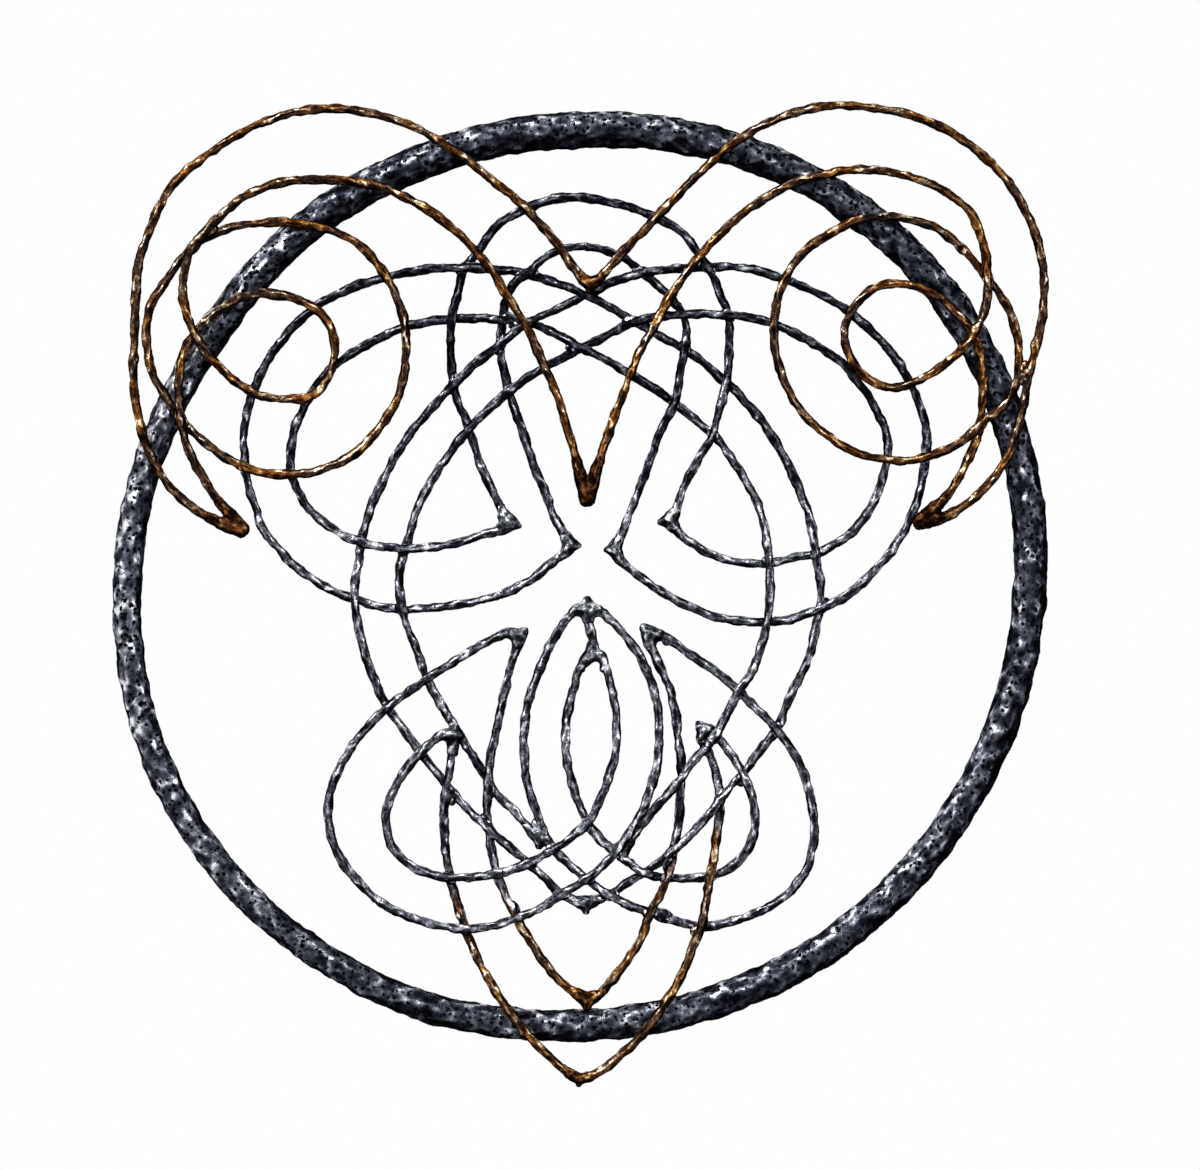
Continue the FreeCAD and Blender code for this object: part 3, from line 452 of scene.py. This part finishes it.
def add_lumps(piece, finish, voxel, seed, wave, bead, streak, smooth=0, more=None):
    """An even skin, smoothed if asked, and then the lumps; the result is the piece's mesh.
    Waves and beads are each a size and a height; more holds other inputs of the tree."""
    skin = piece.modifiers.new("skin", "REMESH")
    skin.mode = "VOXEL"
    skin.voxel_size = voxel
    if smooth:
        blend = piece.modifiers.new("blend", "SMOOTH")
        blend.iterations = smooth
    lumps = piece.modifiers.new("lumps", "NODES")
    lumps.node_group = lumpy_bar
    set_inputs(lumps, {"Wave size": wave[0], "Wave height": wave[1], "Bead size": bead[0],
                       "Bead height": bead[1], "Streak": streak, "Seed": seed,
                       "Finish": finish, **(more or {})})
    return bake(piece)


def dress(name, finish, voxel=0.0008, seed=0.0, wave=(0.009, 0.0034),
          bead=(0.0075, 0.0012), streak=0.9, reshape=None, more=None):
    """A lumpy piece in place of one node of the frame."""
    piece = bpy.data.objects.new("dressed_" + name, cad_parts[name].data.copy())
    bpy.context.collection.objects.link(piece)
    if reshape:
        reshape(piece)
    weld = piece.modifiers.new("merge", "WELD")
    weld.merge_threshold = 1e-6
    add_lumps(piece, finish, voxel, seed, wave, bead, streak, more=more)
    return put_in_place(piece, name)


# %% [markdown]
# The chin rods change colour on their way down: grey inside the face, rust brown below it. The
# change is a soft edge at a height that differs from rod to rod, broken up with noise, so each
# chin rod gets a material of its own that lays the bronze colours over the grey ones.

# %% A rod with two finishes
def two_tone(name, turn_share):
    """Grey above a height and bronze below it; the height is a share of the hoop's radius."""
    finish = gunmetal_rod.copy()
    finish.name = name
    tree = finish.node_tree
    shader = tree.nodes["Principled BSDF"]
    grey = shader.inputs["Base Color"].links[0].from_socket
    masks = place_masks(tree, (34.0, 560.0, 420.0), 0.3, 1.5)
    brown = wear_and_painted_light_colour(tree, masks, bronze_tones, umber_tones)
    place = tree.nodes.new("ShaderNodeTexCoord").outputs["Object"]
    height = wire(tree, "ShaderNodeSeparateXYZ", Vector=place).outputs["Z"]
    turn = hoop_centre_height + turn_share * hoop_radius
    broken = wire(tree, "ShaderNodeMath", {"operation": "MULTIPLY_ADD"},
                  n0=masks.outputs["Patch"], n1=0.012, n2=height)
    share = wire(tree, "ShaderNodeMapRange", n0=broken.outputs[0], n1=turn + 0.012,
                 n2=turn - 0.008)
    tree.links.new(mix(tree, share.outputs[0], grey, brown), shader.inputs["Base Color"])
    return finish


chin_finish = {"chin_inner_left": two_tone("two_tone_inner_left", -0.70),
               "chin_inner_right": two_tone("two_tone_inner_right", -0.64),
               "chin_outer_left": two_tone("two_tone_outer_left", -0.72),
               "chin_outer_right": two_tone("two_tone_outer_right", -0.55)}

# %% [markdown]
# The hoop's bar isn't one thickness in the photo. It was drawn out thinner on the left and is
# stoutest at the top, so its copy is scaled about its outer edge before it is dressed.

# %% Draw out the hoop
hoop_angles = (0, 60, 90, 118, 150, 168, 225, 258, 285, 360)
hoop_thick = (1.0, 1.02, 1.09, 1.06, 0.96, 0.86, 0.86, 0.93, 1.0, 1.0)


def draw_out(piece):
    """Makes the hoop's bar thinner on the left and thicker at the top; its outside stays."""
    spots = skin_points(piece)
    up = spots[:, 2] - hoop_centre_height
    angle = np.degrees(np.arctan2(up, spots[:, 0])) % 360
    out = np.hypot(spots[:, 0], up)
    steps = np.arange(0, 361, 4)
    outside = np.array([out[np.abs((angle - a + 180) % 360 - 180) < 5].max() for a in steps])
    thick = np.interp(angle, hoop_angles, hoop_thick)
    edge = np.interp(angle, steps, outside)
    new_out = edge - (edge - out) * thick
    middle = (spots[:, 1].min() + spots[:, 1].max()) / 2
    spots[:, 1] = middle + (spots[:, 1] - middle) * thick
    spots[:, 0] *= new_out / out
    spots[:, 2] = hoop_centre_height + up * new_out / out
    move_skin(piece, spots)


pieces = {}
# The hoop's painted light comes from its own lit side, high at the front left; a negative
# darkening makes its left part brighter.
hoop_look = {"Lit side": (-0.44, -0.56, 0.70), "Darkening": -0.16, "Darkening height": 0.17,
             "Darkening way": (-1.0, 0.0, 0.0)}
pieces["hoop"] = dress("hoop", gunmetal_hoop, voxel=0.0014, seed=1.0,
                       wave=(0.017, 0.0040), bead=(0.0080, 0.0017), streak=0.8,
                       reshape=draw_out, more=hoop_look)
print("hoop", len(pieces["hoop"].data.polygons), "faces")

# %% [markdown]
# The rods go through the same tree with smaller lumps. The grey rods of the face are made darker
# towards the brow.

# %% Dress the rods
rod_look = {"Thin": 0.0002}
face_look = {"Thin": 0.0002, "Darkening": 0.16, "Darkening height": -0.26}
for count, name in enumerate(horn_rods):
    pieces[name] = dress(name, bronze_rod, seed=2.0 + count, more=rod_look)
for count, name in enumerate(face_rods):
    pieces[name] = dress(name, gunmetal_rod, seed=12.0 + count, more=face_look)
for count, name in enumerate(chin_rods):
    pieces[name] = dress(name, chin_finish[name], seed=30.0 + count,
                         more=rod_look)
for name in horn_rods + face_rods + chin_rods:
    print(name, len(pieces[name].data.polygons), "faces")

# %% [markdown]
# In the photo the weld metal doesn't sit on the ends like a ball. It tapers out along each rod
# and draws to a blunt point on the outer side of the corner. So each knob is built here as
# overlapping balls: a core, a row along each rod that it holds, thinner as it goes, and a short
# row outwards. A voxel remesh melts them into one skin, which is then smoothed.

# %% Find where the rods run beside a weld
ring_step = 0.0020


def main_way(spots):
    """The direction in which a handful of points is longest."""
    spread = spots - spots.mean(axis=0)
    return Vector(np.linalg.svd(spread, full_matrices=False)[2][0])


rods = horn_rods + face_rods + chin_rods
bars = ["hoop"] + rods
skins = {name: skin_points(pieces[name])[::2] for name in rods}
print(sum(len(skin) for skin in skins.values()), "points of skin")


def arm_of(skin, centre, touch, reach):
    """Places along the middle of one rod that touches the weld, from the weld outwards."""
    near = skin[np.linalg.norm(skin - centre, axis=1) < reach]
    if len(near) < 60 or np.linalg.norm(near - centre, axis=1).min() > touch:
        return []
    way = np.array(main_way(near))
    along = (near - centre) @ way
    arms = []
    for side in (-1, 1):
        row = []
        for start in np.arange(0.0, reach, ring_step):
            ring = near[(along * side >= start) & (along * side < start + ring_step)]
            if len(ring) >= 20:
                row.append((ring.min(axis=0) + ring.max(axis=0)) / 2)
        if len(row) >= 4:
            arms.append(row[1:])
    return arms


# %% Melt balls into one weld
weld_reach = 0.0135
tongue_spread = 0.0010
arm_start, arm_taper, neck = 1.36, 0.42, 1.3
end_rod_radius = 0.0040


def ball_mesh(name, balls):
    """Many small closed balls in one mesh."""
    shape = bmesh.new()
    for place, radius in balls:
        bmesh.ops.create_icosphere(shape, subdivisions=2, radius=radius,
                                   matrix=Matrix.Translation(Vector(place)))
    mesh = bpy.data.meshes.new(name)
    shape.to_mesh(mesh)
    shape.free()
    return mesh


def tip_line(blank, tip):
    """The start, the end and the direction of a long tip, from its wide end to its narrow."""
    way = np.array(main_way(blank))
    middle = blank.mean(axis=0)
    along = (blank - middle) @ way
    aside = np.linalg.norm(blank - middle - np.outer(along, way), axis=1)
    if aside[along > along.max() - 0.002].max() > aside[along < along.min() + 0.002].max():
        way, along = -way, -along
    middle = blank[along > along.max() - 0.001].mean(axis=0) - way * along.max()
    return middle + way * along.min(), middle + way * (along.max() - tip), way


def tip_balls(blank, core, tip):
    """Balls for a long blunt tongue: each touching rod is carried on to the tip's end."""
    start, end, way = tip_line(blank, tip)
    balls = []
    for rod in rods:
        if not arm_of(skins[rod], start, 0.0075, weld_reach):
            continue
        near = skins[rod][np.linalg.norm(skins[rod] - start, axis=1) < 0.024]
        reached = (near - start) @ way
        last = near[reached > reached.max() - 0.004].mean(axis=0)
        side = last - start - way * ((last - start) @ way)
        side *= tongue_spread / max(np.linalg.norm(side), tongue_spread)
        for share in np.linspace(0, 1, 11):
            balls.append((last + (end + side - last) * share, core + (tip - core) * share))
        for row in arm_of(skins[rod], last, 0.0060, 0.0120):
            balls += [(place, rod_radius * (arm_start - 30.0 * np.linalg.norm(place - last)))
                      for place in row]
    return balls


def end_balls(skin, centre, core):
    """Balls from the weld over the end of a rod that only just reaches it."""
    far = np.linalg.norm(skin - centre, axis=1)
    last = skin[far < far.min() + 0.006].mean(axis=0)
    return [(centre + (last - centre) * share * 1.3, core + (end_rod_radius - core) * share)
            for share in np.linspace(0, 1, 7)]


def knob_balls(name, centre, touch, core):
    """Balls for a knob: its core, its arms along the rods and its blunt outer point."""
    balls, ways = [(centre, core)], []
    for rod in rods:
        for row in arm_of(skins[rod], centre, touch, weld_reach):
            for share in (0.25, 0.5, 0.75):
                balls.append((centre + (row[0] - centre) * share,
                              core + (rod_radius * neck - core) * share))
            for place in row:
                far = np.linalg.norm(place - centre) / weld_reach
                balls.append((place, rod_radius * (arm_start - arm_taper * far)))
            ways.append((row[-1] - centre) / np.linalg.norm(row[-1] - centre))
    if name in end_rods:
        balls += end_balls(skins[end_rods[name]], centre, core)
    outward = -np.sum(ways, axis=0) if ways else np.zeros(3)
    outward[1] = 0.0
    length = np.linalg.norm(outward)
    if length > 0.35:
        for step in range(1, 5):
            place = centre + outward / length * core * step * 0.25
            balls.append((place, core * (1.0 - 0.13 * step)))
    return balls


def melt_weld(name, finish, slot_name, seed, core, tip):
    """One weld, a knob or a long tip, from balls that are melted into one skin."""
    blank = skin_points(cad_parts[name])
    centre = (blank.min(axis=0) + blank.max(axis=0)) / 2
    touch = (blank.max(axis=0) - blank.min(axis=0)).max() / 2
    balls = tip_balls(blank, core, tip) if tip else knob_balls(name, centre, touch, core)
    piece = bpy.data.objects.new("melted_" + name, ball_mesh(name, balls))
    bpy.context.collection.objects.link(piece)
    # The bronze welds are made darker all over, the long tips most.
    darkening = 0.0 if slot_name == "weld_grey" else 0.24 if tip else 0.14
    add_lumps(piece, finish, 0.0006, seed, wave=(0.006, 0.0015), bead=(0.0060, 0.0010),
              streak=0.6, smooth=8, more={"Darkening": darkening, "Darkening height": -1.0})
    return put_in_place(piece, name)


# %% [markdown]
# Most knobs have the same core. The larger and the smaller ones are listed by name, and so are
# the long tips, each with its radius beside the rods and at its end.

# %% Dress the welds
usual_core = 0.0052
end_rods = {"weld_cheek_inner_left": "chin_outer_left"}
tips = {"weld_horn_tip_left": (0.0046, 0.0044), "weld_horn_tip_right": (0.0046, 0.0044),
        "weld_horn_point": (0.0046, 0.0046)}
cores = {"weld_nose_top": 0.0064, "weld_chin_inner": 0.0054, "weld_brow_outer_left": 0.0060,
         "weld_brow_outer_right": 0.0056, "weld_cheek_outer_left": 0.0056,
         "weld_cheek_outer_right": 0.0062, "weld_nose_almond": 0.0054,
         "weld_horn_peak": 0.0050, "weld_chin_point": 0.0042}
for count, name in enumerate(bronze_welds + grey_welds):
    finish, slot_name = ((weld_bronze, "weld_bronze") if name in bronze_welds
                         else (weld_grey, "weld_grey"))
    core, tip = tips.get(name, (cores.get(name, usual_core), None))
    melt_weld(name, finish, slot_name, 50.0 + count, core, tip)
print(len(bronze_welds + grey_welds), "welds dressed")

# %% [markdown]
# The sleeve behind the hoop is plain tube, cut to sit over the bar. Its node is carried over as
# it is and only gets its finish.

# %% Finish the sleeve
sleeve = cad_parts["hanging_sleeve"]
sleeve.data.materials.clear()
sleeve.data.materials.append(sleeve_steel)

# %% [markdown]
# Where two rods cross, the maker ran a little weld into the corners. The crossings are found by
# measuring: wherever the skins of two rods come within a millimetre or so, there is a place for
# a bead. The bead is a lumpy ellipsoid, long in the direction that halves the sharper angle, so
# it fills the two sharp corners like a web.

# %% Find the crossings
touching, one_crossing, fewest = 0.0014, 0.016, 3

owners, spots = [], []
for index, name in enumerate(bars):
    points = skin_points(pieces[name])[::2]
    spots.append(points)
    owners += [index] * len(points)
spots = np.concatenate(spots)
owners = np.array(owners)
near_by = KDTree(len(spots))
for index, spot in enumerate(spots):
    near_by.insert(spot, index)
near_by.balance()

touches = {}
for index in range(0, len(spots), 3):
    for _, other, _ in near_by.find_range(spots[index], touching):
        if owners[other] != owners[index]:
            pair = tuple(sorted((int(owners[index]), int(owners[other]))))
            touches.setdefault(pair, []).append(index)
            break

crossings = []
for pair, found in touches.items():
    left = spots[found]
    while len(left):
        near = np.linalg.norm(left - left[0], axis=1) < one_crossing
        if near.sum() >= fewest:
            crossings.append((pair, Vector(left[near].mean(axis=0))))
        left = left[~near]
print(len(crossings), "crossings")

# %% [markdown]
# The beads repeat, so a second Geometry Nodes tree places them: a point cloud with a scale and
# a turn for each bead, one small ball, and the same noise as on the bars to make it lumpy.

# %% Build the tree of beads
def build_beads():
    tree = bpy.data.node_groups.new("crossing_beads", "GeometryNodeTree")
    new_sockets(tree, [("Places", "NodeSocketGeometry", None),
                       ("Lump size", "NodeSocketFloat", 0.0030),
                       ("Lump height", "NodeSocketFloat", 0.0012),
                       ("Lit side", "NodeSocketVector", lit_side),
                       ("Finish", "NodeSocketMaterial", None)],
                [("Beads", "NodeSocketGeometry")])
    given = tree.nodes.new("NodeGroupInput").outputs
    out = tree.nodes.new("NodeGroupOutput")
    ball = wire(tree, "GeometryNodeMeshIcoSphere", Radius=1.0, Subdivisions=4)
    size = wire(tree, "GeometryNodeInputNamedAttribute", {"data_type": "FLOAT_VECTOR"},
                Name="size")
    turn = wire(tree, "GeometryNodeInputNamedAttribute", {"data_type": "FLOAT_VECTOR"},
                Name="turn")
    aim = wire(tree, "FunctionNodeEulerToRotation", n0=turn.outputs[0])
    cloud = wire(tree, "GeometryNodeMeshToPoints", Mesh=given["Places"])
    beads = wire(tree, "GeometryNodeInstanceOnPoints", Points=cloud.outputs[0],
                 Instance=ball.outputs[0], Rotation=aim.outputs[0], Scale=size.outputs[0])
    whole = wire(tree, "GeometryNodeRealizeInstances", Geometry=beads.outputs[0])
    place = tree.nodes.new("GeometryNodeInputPosition").outputs[0]
    outward = tree.nodes.new("GeometryNodeInputNormal").outputs[0]
    scale = wire(tree, "ShaderNodeMath", {"operation": "DIVIDE"}, n0=1.0, n1=given["Lump size"])
    noise = wire(tree, "ShaderNodeTexNoise", Vector=place, Scale=scale.outputs[0], Detail=2.0)
    middle = wire(tree, "ShaderNodeMath", {"operation": "SUBTRACT"}, n0=noise.outputs[0],
                  n1=0.55)
    move = wire(tree, "ShaderNodeMath", {"operation": "MULTIPLY"}, n0=middle.outputs[0],
                n1=given["Lump height"])
    offset = wire(tree, "ShaderNodeVectorMath", {"operation": "SCALE"}, n0=outward,
                  Scale=move.outputs[0])
    moved = wire(tree, "GeometryNodeSetPosition", Geometry=whole.outputs[0],
                 Offset=offset.outputs[0])
    height = wire(tree, "ShaderNodeMapRange", n0=noise.outputs[0], n1=0.34, n2=0.66,
                  n3=-0.12, n4=0.88)
    kept = keep_lump_and_painted_light(tree, moved.outputs[0], height.outputs[0], outward, given["Lit side"])
    smooth = wire(tree, "GeometryNodeSetShadeSmooth", Geometry=kept)
    dressed = wire(tree, "GeometryNodeSetMaterial", Geometry=smooth.outputs[0],
                   Material=given["Finish"])
    tree.links.new(dressed.outputs[0], out.inputs["Beads"])
    return tree


crossing_beads = build_beads()


# %% Size the beads and the swellings
bead_reach, swell_reach = 0.0085, 0.011
bead_shares = Vector((1.04, 0.95, 1.24))
longest_bead = 2.6


def turn_along(way):
    """The turn about Y that lays a bead's long side along a direction."""
    return Matrix.Rotation(-math.atan2(way.z, way.x), 3, "Y").to_euler()


def bead_of(pair, centre):
    """The size and turn of the bead at one crossing, or None beside the heavy hoop."""
    ways = []
    for owner in pair:
        near = [i for _, i, _ in near_by.find_range(centre, bead_reach) if owners[i] == owner]
        if len(near) < 12:
            return None
        ways.append(main_way(spots[near]))
    first, second = ways
    if first.dot(second) < 0:
        second = -second
    along = (first + second).normalized()
    half = max(0.5 * first.angle(second), math.radians(12))
    size = bead_shares * rod_radius
    size.x *= min(1.0 / math.sin(half), longest_bead)
    return size, turn_along(along)


def swell_on(bar, across, up, size=(0.0062, 0.0032, 0.0035)):
    """A swelling round one bar, at shares of the hoop's radius from the hoop's centre."""
    spot = np.array((across * hoop_radius, up * hoop_radius + hoop_centre_height))
    wanted = owners == bars.index(bar)
    near = spots[wanted & (np.linalg.norm(spots[:, [0, 2]] - spot, axis=1) < 0.004)]
    middle = (near.min(axis=0) + near.max(axis=0)) / 2
    around = spots[wanted & (np.linalg.norm(spots - middle, axis=1) < swell_reach)]
    return Vector(middle), Vector(size), turn_along(main_way(around))


# %% Place the beads
def make_beads(name, finish, wanted, swells):
    """All the beads of one finish as one piece, with the swellings of its bars."""
    rows = [swell_on(*swell) for swell in swells]
    for pair, centre in crossings:
        names = [bars[i] for i in pair]
        if "hoop" in names or not wanted(names, centre):
            continue
        bead = bead_of(pair, centre)
        if bead:
            rows.append((centre, *bead))
    mesh = bpy.data.meshes.new(name)
    mesh.from_pydata([row[0] for row in rows], [], [])
    for key, column in (("size", 1), ("turn", 2)):
        layer = mesh.attributes.new(key, "FLOAT_VECTOR", "POINT")
        layer.data.foreach_set("vector", [v for row in rows for v in row[column]])
    piece = bpy.data.objects.new(name, mesh)
    bpy.context.collection.objects.link(piece)
    modifier = piece.modifiers.new("beads", "NODES")
    modifier.node_group = crossing_beads
    set_inputs(modifier, {"Finish": finish})
    put_in_place(bake(piece), None)
    print(name, len(rows), "beads", len(piece.data.polygons), "faces")


def is_brown(names, centre):
    """Whether a crossing lies among the horns or in the brown part of the chin."""
    brown_chin = any(n in chin_rods for n in names) and centre.z < brown_below
    return brown_chin or all(n in horn_rods for n in names)


def is_grey(names, centre):
    """Whether a crossing lies in the grey face, away from the horns."""
    return not is_brown(names, centre) and not any(n in horn_rods for n in names)


brown_below = -0.512
make_beads("beads_bronze", bronze_rod, is_brown, [
    ("horn_outer_left", -0.985, 0.48), ("horn_circle_left", -0.88, 0.34),
    ("horn_circle_left", -0.745, 0.243), ("horn_circle_right", 0.84, 0.725)])
make_beads("beads_grey", gunmetal_rod, is_grey, [
    ("chin_inner_left", -0.147, -0.735), ("chin_outer_left", -0.268, -0.748),
    ("chin_inner_right", 0.187, -0.637), ("ear_inner_left", 0.283, -0.368),
    ("cheek_outer_right", 0.180, -0.750, (0.0080, 0.0038, 0.0048))])

# %% [markdown]
# The photo is a straight view from the front on plain white. The camera stands far back with a
# long lens, so the rods in front hardly grow, and it aims at the middle of the picture rather
# than the middle of the hoop.

# %% The camera
picture_width = 0.7872
nearest_face = -0.030
distance = 2.4
camera = bpy.data.objects.new("front_camera", bpy.data.cameras.new("front_camera"))
camera.data.sensor_width = 36.0
camera.data.lens = 36.0 * distance / picture_width
camera.location = (0.0122, nearest_face - distance, -0.3003)
camera.rotation_euler = Euler((math.radians(90), 0, 0))
bpy.context.collection.objects.link(camera)
bpy.context.scene.camera = camera
print("lens", round(camera.data.lens, 1), "mm")


# %% [markdown]
# Two soft lamps light it: a broad one high at the front left, which gives the bright line along
# the top of each bar, and a weaker one at the right. The world looks white to the camera and in
# reflections, but lights the metal only gently, so the undersides stay dark.

# %% The lamps and the world
def soft_lamp(name, spot, size, power):
    lamp = bpy.data.lights.new(name, "AREA")
    lamp.size, lamp.energy = size, power
    holder = bpy.data.objects.new(name, lamp)
    holder.location = spot
    aim = Vector((0, 0, hoop_centre_height)) - Vector(spot)
    holder.rotation_euler = aim.to_track_quat("-Z", "Y").to_euler()
    bpy.context.collection.objects.link(holder)


soft_lamp("lamp_high_left", (-0.9, -1.6, 1.2), 0.7, 42.0)
soft_lamp("lamp_right", (1.4, -1.4, 0.2), 0.9, 14.0)

world = bpy.data.worlds.new("white_room")
bpy.context.scene.world = world
world.use_nodes = True
sky = world.node_tree
dim = sky.nodes["Background"]
dim.inputs["Color"].default_value = (1, 1, 1, 1)
dim.inputs["Strength"].default_value = 0.55
bright = wire(sky, "ShaderNodeBackground", Color=(1, 1, 1, 1), Strength=1.0)
path = sky.nodes.new("ShaderNodeLightPath").outputs
seen = wire(sky, "ShaderNodeMath", {"operation": "MAXIMUM"}, n0=path["Is Camera Ray"],
            n1=path["Is Glossy Ray"])
seen = wire(sky, "ShaderNodeMath", {"operation": "MAXIMUM"}, n0=seen.outputs[0],
            n1=path["Is Transmission Ray"])
both = wire(sky, "ShaderNodeMixShader", n0=seen.outputs[0], n1=dim.outputs[0],
            n2=bright.outputs[0])
sky.links.new(both.outputs[0], sky.nodes["World Output"].inputs["Surface"])

# %% The floor
floor_height, floor_half, floor_back = -0.80, 0.6, 0.35
floor_mesh = bpy.data.meshes.new("pale_floor")
floor_mesh.from_pydata([(-floor_half, -floor_half, floor_height),
                        (floor_half, -floor_half, floor_height),
                        (floor_half, floor_back, floor_height),
                        (-floor_half, floor_back, floor_height)], [], [(0, 1, 2, 3)])
floor = bpy.data.objects.new("pale_floor", floor_mesh)
floor_finish = bpy.data.materials.new("pale_floor")
floor_finish.use_nodes = True
floor_shader = floor_finish.node_tree.nodes["Principled BSDF"]
floor_shader.inputs["Base Color"].default_value = (0.86, 0.86, 0.86, 1)
floor_shader.inputs["Roughness"].default_value = 0.7
floor_mesh.materials.append(floor_finish)
bpy.context.collection.objects.link(floor)

bpy.context.scene.view_settings.view_transform = "Standard"
